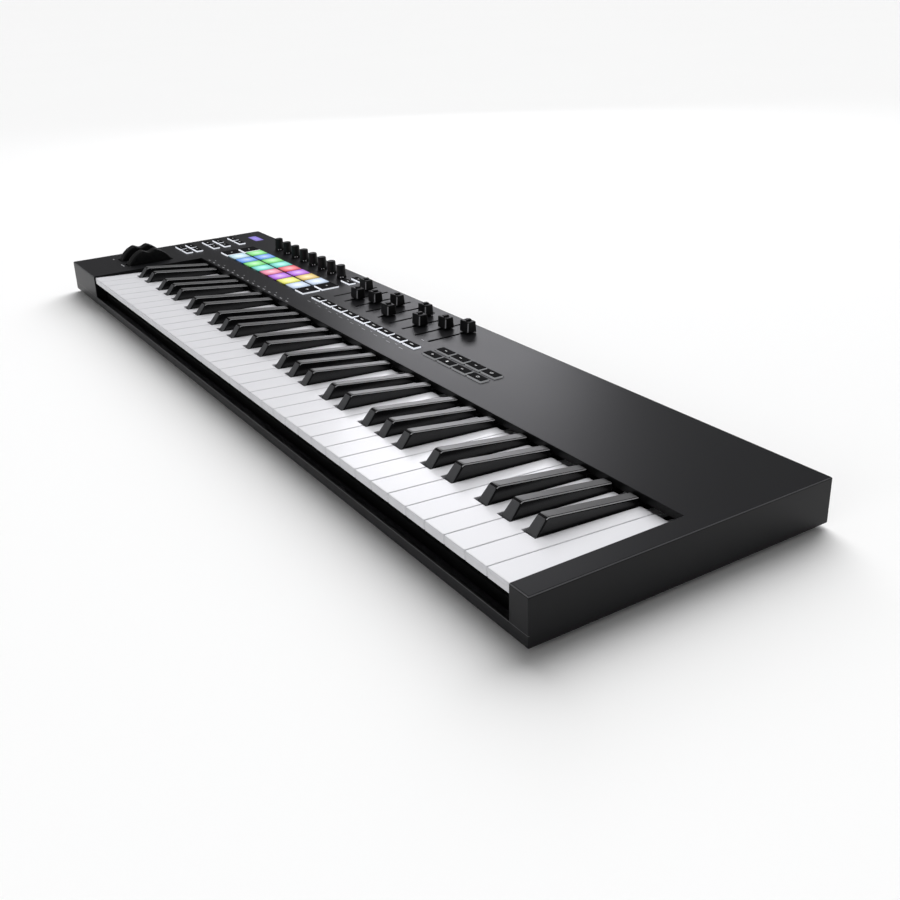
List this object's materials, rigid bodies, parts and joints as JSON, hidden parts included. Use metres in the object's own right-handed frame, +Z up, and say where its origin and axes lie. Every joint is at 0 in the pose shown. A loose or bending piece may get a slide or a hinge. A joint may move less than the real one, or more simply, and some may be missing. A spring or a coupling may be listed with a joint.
{
  "type": "synthesizer keyboard controller",
  "caption": "Flat keyboard controller with hinged piano-style keys, two bender wheels, pads, buttons, knobs and faders in a dark rectangular case on rubber feet.",
  "frame": {"origin": "middle of the footprint, on the plane that the rubber feet stand on", "axes": "+X towards the keyboard's treble end, +Y from the player to the rear, +Z up"},
  "size_m": [0.959, 0.257, 0.0542],
  "materials": {
    "case": "fine-textured dark charcoal",
    "cover": "matte black",
    "white_key": "glossy white",
    "black_key": "satin black",
    "rubber": "soft black",
    "rim": "translucent pale silicone with black button faces",
    "pad": "translucent silicone lit from below",
    "display": "clear window over a blue-violet display",
    "board": "green circuit board",
    "steel": "plain steel",
    "frame": "moulded black"
  },
  "bodies": {
    "case": {"case_shell": "case", "bottom_cover": "cover", "foot_front_left": "rubber", "foot_front_right": "rubber", "foot_rear_left": "rubber", "foot_rear_right": "rubber", "keybed_frame": "frame", "key_contact_board": "board", "contact_rubber": "rubber", "control_board": "board", "main_board": "board", "display_window": "display", "display_module": "frame", "wheel_bracket": "steel", "usb_socket": "steel", "midi_socket": "frame", "pedal_socket": "frame"},
    "naturals_cegb_1": {"naturals_cegb_1": "white_key"},
    "naturals_dfa_1": {"naturals_dfa_1": "white_key"},
    "sharps_1": {"sharps_1": "black_key"},
    "naturals_cegb_2": {"naturals_cegb_2": "white_key"},
    "naturals_dfa_2": {"naturals_dfa_2": "white_key"},
    "sharps_2": {"sharps_2": "black_key"},
    "naturals_cegb_3": {"naturals_cegb_3": "white_key"},
    "naturals_dfa_3": {"naturals_dfa_3": "white_key"},
    "sharps_3": {"sharps_3": "black_key"},
    "naturals_cegb_4": {"naturals_cegb_4": "white_key"},
    "naturals_dfa_4": {"naturals_dfa_4": "white_key"},
    "sharps_4": {"sharps_4": "black_key"},
    "naturals_cegb_5": {"naturals_cegb_5": "white_key"},
    "naturals_dfa_5": {"naturals_dfa_5": "white_key"},
    "sharps_5": {"sharps_5": "black_key"},
    "natural_top_c": {"natural_top_c": "white_key"},
    "pitch_wheel": {"pitch_wheel": "rubber"},
    "mod_wheel": {"mod_wheel": "rubber"},
    "pads_front": {"pads_front": "pad"},
    "pads_rear": {"pads_rear": "pad"},
    "octave_button_mat": {"octave_button_mat": "rim"},
    "mode_button_mat": {"mode_button_mat": "rim"},
    "scene_button_mat": {"scene_button_mat": "rim"},
    "launch_button_mat": {"launch_button_mat": "rim"},
    "fader_button_mat": {"fader_button_mat": "rim"},
    "transport_button_mat": {"transport_button_mat": "rim"},
    "knob_1": {"knob_1": "rubber"},
    "knob_2": {"knob_2": "rubber"},
    "knob_3": {"knob_3": "rubber"},
    "knob_4": {"knob_4": "rubber"},
    "knob_5": {"knob_5": "rubber"},
    "knob_6": {"knob_6": "rubber"},
    "knob_7": {"knob_7": "rubber"},
    "knob_8": {"knob_8": "rubber"},
    "fader_1": {"fader_1": "rubber"},
    "fader_2": {"fader_2": "rubber"},
    "fader_3": {"fader_3": "rubber"},
    "fader_4": {"fader_4": "rubber"},
    "fader_5": {"fader_5": "rubber"},
    "fader_6": {"fader_6": "rubber"},
    "fader_7": {"fader_7": "rubber"},
    "fader_8": {"fader_8": "rubber"},
    "fader_9": {"fader_9": "rubber"}
  },
  "joints": [
    {"name": "naturals_cegb_1_press", "type": "hinge", "parent": "case", "child": "naturals_cegb_1", "pos_m": [0.0372, 0.027, 0.0265], "axis": [1, 0, 0], "range_deg": [0, 3.7], "stiffness_Nm_per_rad": 4, "springref_deg": -6.02},
    {"name": "naturals_dfa_1_press", "type": "hinge", "parent": "case", "child": "naturals_dfa_1", "pos_m": [0.0372, 0.027, 0.0265], "axis": [1, 0, 0], "range_deg": [0, 3.7], "stiffness_Nm_per_rad": 4, "springref_deg": -6.02},
    {"name": "sharps_1_press", "type": "hinge", "parent": "case", "child": "sharps_1", "pos_m": [0.0372, 0.027, 0.0265], "axis": [1, 0, 0], "range_deg": [0, 3.7], "stiffness_Nm_per_rad": 4, "springref_deg": -6.02},
    {"name": "naturals_cegb_2_press", "type": "hinge", "parent": "case", "child": "naturals_cegb_2", "pos_m": [0.0372, 0.027, 0.0265], "axis": [1, 0, 0], "range_deg": [0, 3.7], "stiffness_Nm_per_rad": 4, "springref_deg": -6.02},
    {"name": "naturals_dfa_2_press", "type": "hinge", "parent": "case", "child": "naturals_dfa_2", "pos_m": [0.0372, 0.027, 0.0265], "axis": [1, 0, 0], "range_deg": [0, 3.7], "stiffness_Nm_per_rad": 4, "springref_deg": -6.02},
    {"name": "sharps_2_press", "type": "hinge", "parent": "case", "child": "sharps_2", "pos_m": [0.0372, 0.027, 0.0265], "axis": [1, 0, 0], "range_deg": [0, 3.7], "stiffness_Nm_per_rad": 4, "springref_deg": -6.02},
    {"name": "naturals_cegb_3_press", "type": "hinge", "parent": "case", "child": "naturals_cegb_3", "pos_m": [0.0372, 0.027, 0.0265], "axis": [1, 0, 0], "range_deg": [0, 3.7], "stiffness_Nm_per_rad": 4, "springref_deg": -6.02},
    {"name": "naturals_dfa_3_press", "type": "hinge", "parent": "case", "child": "naturals_dfa_3", "pos_m": [0.0372, 0.027, 0.0265], "axis": [1, 0, 0], "range_deg": [0, 3.7], "stiffness_Nm_per_rad": 4, "springref_deg": -6.02},
    {"name": "sharps_3_press", "type": "hinge", "parent": "case", "child": "sharps_3", "pos_m": [0.0372, 0.027, 0.0265], "axis": [1, 0, 0], "range_deg": [0, 3.7], "stiffness_Nm_per_rad": 4, "springref_deg": -6.02},
    {"name": "naturals_cegb_4_press", "type": "hinge", "parent": "case", "child": "naturals_cegb_4", "pos_m": [0.0372, 0.027, 0.0265], "axis": [1, 0, 0], "range_deg": [0, 3.7], "stiffness_Nm_per_rad": 4, "springref_deg": -6.02},
    {"name": "naturals_dfa_4_press", "type": "hinge", "parent": "case", "child": "naturals_dfa_4", "pos_m": [0.0372, 0.027, 0.0265], "axis": [1, 0, 0], "range_deg": [0, 3.7], "stiffness_Nm_per_rad": 4, "springref_deg": -6.02},
    {"name": "sharps_4_press", "type": "hinge", "parent": "case", "child": "sharps_4", "pos_m": [0.0372, 0.027, 0.0265], "axis": [1, 0, 0], "range_deg": [0, 3.7], "stiffness_Nm_per_rad": 4, "springref_deg": -6.02},
    {"name": "naturals_cegb_5_press", "type": "hinge", "parent": "case", "child": "naturals_cegb_5", "pos_m": [0.0372, 0.027, 0.0265], "axis": [1, 0, 0], "range_deg": [0, 3.7], "stiffness_Nm_per_rad": 4, "springref_deg": -6.02},
    {"name": "naturals_dfa_5_press", "type": "hinge", "parent": "case", "child": "naturals_dfa_5", "pos_m": [0.0372, 0.027, 0.0265], "axis": [1, 0, 0], "range_deg": [0, 3.7], "stiffness_Nm_per_rad": 4, "springref_deg": -6.02},
    {"name": "sharps_5_press", "type": "hinge", "parent": "case", "child": "sharps_5", "pos_m": [0.0372, 0.027, 0.0265], "axis": [1, 0, 0], "range_deg": [0, 3.7], "stiffness_Nm_per_rad": 4, "springref_deg": -6.02},
    {"name": "natural_top_c_press", "type": "hinge", "parent": "case", "child": "natural_top_c", "pos_m": [0.0372, 0.027, 0.0265], "axis": [1, 0, 0], "range_deg": [0, 3.7], "stiffness_Nm_per_rad": 4, "springref_deg": -6.02},
    {"name": "pitch_wheel_turn", "type": "hinge", "parent": "case", "child": "pitch_wheel", "pos_m": [-0.4448, -0.05, 0.0255], "axis": [1, 0, 0], "range_deg": [-30, 30], "stiffness_Nm_per_rad": 0.06},
    {"name": "mod_wheel_turn", "type": "hinge", "parent": "case", "child": "mod_wheel", "pos_m": [-0.4138, -0.05, 0.0255], "axis": [1, 0, 0], "range_deg": [-30, 30]},
    {"name": "pads_front_press", "type": "slide", "parent": "case", "child": "pads_front", "axis": [0, 0, -1], "range_m": [0, 0.0008], "stiffness_N_per_m": 400, "springref_m": -0.002},
    {"name": "pads_rear_press", "type": "slide", "parent": "case", "child": "pads_rear", "axis": [0, 0, -1], "range_m": [0, 0.0008], "stiffness_N_per_m": 400, "springref_m": -0.002},
    {"name": "octave_button_mat_press", "type": "slide", "parent": "case", "child": "octave_button_mat", "axis": [0, 0, -1], "range_m": [0, 0.0008], "stiffness_N_per_m": 400, "springref_m": -0.002},
    {"name": "mode_button_mat_press", "type": "slide", "parent": "case", "child": "mode_button_mat", "axis": [0, 0, -1], "range_m": [0, 0.0008], "stiffness_N_per_m": 400, "springref_m": -0.002},
    {"name": "scene_button_mat_press", "type": "slide", "parent": "case", "child": "scene_button_mat", "axis": [0, 0, -1], "range_m": [0, 0.0008], "stiffness_N_per_m": 400, "springref_m": -0.002},
    {"name": "launch_button_mat_press", "type": "slide", "parent": "case", "child": "launch_button_mat", "axis": [0, 0, -1], "range_m": [0, 0.0008], "stiffness_N_per_m": 400, "springref_m": -0.002},
    {"name": "fader_button_mat_press", "type": "slide", "parent": "case", "child": "fader_button_mat", "axis": [0, 0, -1], "range_m": [0, 0.0008], "stiffness_N_per_m": 400, "springref_m": -0.002},
    {"name": "transport_button_mat_press", "type": "slide", "parent": "case", "child": "transport_button_mat", "axis": [0, 0, -1], "range_m": [0, 0.0008], "stiffness_N_per_m": 400, "springref_m": -0.002},
    {"name": "knob_1_turn", "type": "hinge", "parent": "case", "child": "knob_1", "pos_m": [-0.35895, 0.1055, 0.045], "axis": [0, 0, 1], "range_deg": [-150, 150]},
    {"name": "knob_2_turn", "type": "hinge", "parent": "case", "child": "knob_2", "pos_m": [-0.33448, 0.1055, 0.045], "axis": [0, 0, 1], "range_deg": [-150, 150]},
    {"name": "knob_3_turn", "type": "hinge", "parent": "case", "child": "knob_3", "pos_m": [-0.31, 0.1055, 0.045], "axis": [0, 0, 1], "range_deg": [-150, 150]},
    {"name": "knob_4_turn", "type": "hinge", "parent": "case", "child": "knob_4", "pos_m": [-0.28553, 0.1055, 0.045], "axis": [0, 0, 1], "range_deg": [-150, 150]},
    {"name": "knob_5_turn", "type": "hinge", "parent": "case", "child": "knob_5", "pos_m": [-0.26106, 0.1055, 0.045], "axis": [0, 0, 1], "range_deg": [-150, 150]},
    {"name": "knob_6_turn", "type": "hinge", "parent": "case", "child": "knob_6", "pos_m": [-0.23659, 0.1055, 0.045], "axis": [0, 0, 1], "range_deg": [-150, 150]},
    {"name": "knob_7_turn", "type": "hinge", "parent": "case", "child": "knob_7", "pos_m": [-0.21213, 0.1055, 0.045], "axis": [0, 0, 1], "range_deg": [-150, 150]},
    {"name": "knob_8_turn", "type": "hinge", "parent": "case", "child": "knob_8", "pos_m": [-0.18765, 0.1055, 0.045], "axis": [0, 0, 1], "range_deg": [-150, 150]},
    {"name": "fader_1_slide", "type": "slide", "parent": "case", "child": "fader_1", "axis": [0, 1, 0], "range_m": [-0.037, 0.009]},
    {"name": "fader_2_slide", "type": "slide", "parent": "case", "child": "fader_2", "axis": [0, 1, 0], "range_m": [-0.013, 0.033]},
    {"name": "fader_3_slide", "type": "slide", "parent": "case", "child": "fader_3", "axis": [0, 1, 0], "range_m": [-0.021, 0.025]},
    {"name": "fader_4_slide", "type": "slide", "parent": "case", "child": "fader_4", "axis": [0, 1, 0], "range_m": [-0.034, 0.012]},
    {"name": "fader_5_slide", "type": "slide", "parent": "case", "child": "fader_5", "axis": [0, 1, 0], "range_m": [-0.009, 0.037]},
    {"name": "fader_6_slide", "type": "slide", "parent": "case", "child": "fader_6", "axis": [0, 1, 0], "range_m": [-0.039, 0.007]},
    {"name": "fader_7_slide", "type": "slide", "parent": "case", "child": "fader_7", "axis": [0, 1, 0], "range_m": [-0.017, 0.029]},
    {"name": "fader_8_slide", "type": "slide", "parent": "case", "child": "fader_8", "axis": [0, 1, 0], "range_m": [-0.032, 0.014]},
    {"name": "fader_9_slide", "type": "slide", "parent": "case", "child": "fader_9", "axis": [0, 1, 0], "range_m": [-0.042, 0.004]}
  ]
}
